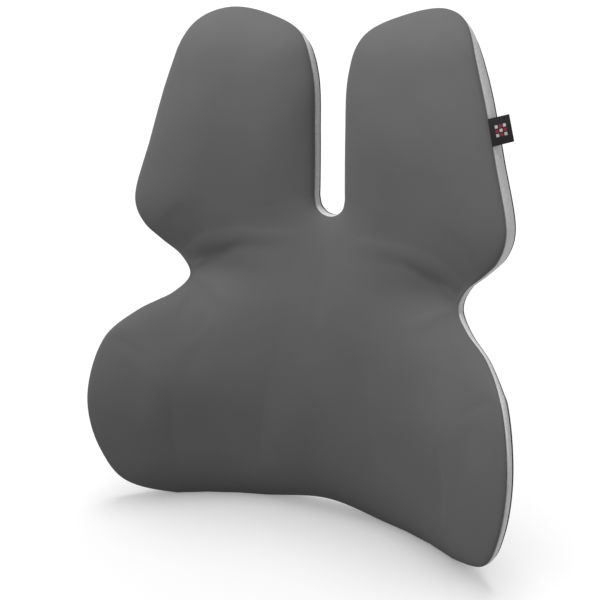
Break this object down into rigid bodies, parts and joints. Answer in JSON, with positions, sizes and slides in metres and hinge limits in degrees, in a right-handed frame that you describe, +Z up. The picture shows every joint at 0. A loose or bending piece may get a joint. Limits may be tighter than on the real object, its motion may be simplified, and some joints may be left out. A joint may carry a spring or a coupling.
{
  "type": "lumbar support cushion",
  "caption": "Moulded-foam lumbar support cushion with tall lobes either side of a spine slot, a narrow waist and wrap-round wings, zipped cover and buckled rear strap.",
  "frame": {"origin": "on the ground under the middle of the bounding box", "axes": "+Z up, -Y towards the user, +Y towards the backrest, +X to the right seen from the user's side"},
  "size_m": [0.4294, 0.1394, 0.4879],
  "materials": {
    "front_fabric": "smooth dark grey stretch knit",
    "band_fabric": "light grey brushed knit",
    "back_fabric": "dark grey spacer knit",
    "foam": "moulded open-cell polyurethane foam",
    "firm_foam": "firm polyurethane foam",
    "plate_plastic": "natural polypropylene sheet",
    "label_weave": "woven damask label",
    "zip_tape": "black woven zip tape",
    "zip_coil": "black nylon coil",
    "zip_metal": "gunmetal plated zinc",
    "webbing": "black elastic webbing",
    "buckle_plastic": "black acetal"
  },
  "bodies": {
    "cushion": {"front_panel": "front_fabric", "side_band_left": "band_fabric", "side_band_right": "band_fabric", "slot_band": "band_fabric", "back_panel_upper": "back_fabric", "back_panel_lower": "back_fabric", "comfort_foam": "foam", "support_plate": "plate_plastic", "base_foam": "firm_foam", "label_tab": "label_weave", "zip_tape_upper": "zip_tape", "zip_tape_lower": "zip_tape", "zip_coil_upper": "zip_coil", "zip_coil_lower": "zip_coil", "zip_top_stop": "zip_metal", "zip_bottom_stop": "zip_metal", "strap_left": "webbing", "strap_right": "webbing", "strap_patch_left": "webbing", "strap_patch_right": "webbing", "buckle_socket": "buckle_plastic"},
    "slider": {"zip_slider": "zip_metal"},
    "pull": {"zip_pull": "zip_metal"},
    "plug": {"buckle_plug": "buckle_plastic"},
    "adjuster": {"strap_adjuster": "buckle_plastic"}
  },
  "joints": [
    {"name": "zip_travel", "type": "hinge", "parent": "cushion", "child": "slider", "pos_m": [0, -0.22772, 0.06], "axis": [0, 0, 1], "range_deg": [0, 54]},
    {"name": "pull_swing", "type": "hinge", "parent": "slider", "child": "pull", "pos_m": [0.13168, 0.03033, 0.06], "axis": [0, 0, -1], "range_deg": [0, 170]},
    {"name": "buckle_release", "type": "slide", "parent": "cushion", "child": "plug", "axis": [1, 0, 0], "range_m": [0, 0.026], "deforming": ["strap_right", "buckle_plug"]},
    {"name": "adjuster_slide", "type": "hinge", "parent": "cushion", "child": "adjuster", "pos_m": [0, -0.22772, 0.15], "axis": [0, 0, 1], "range_deg": [-4, 5]}
  ]
}
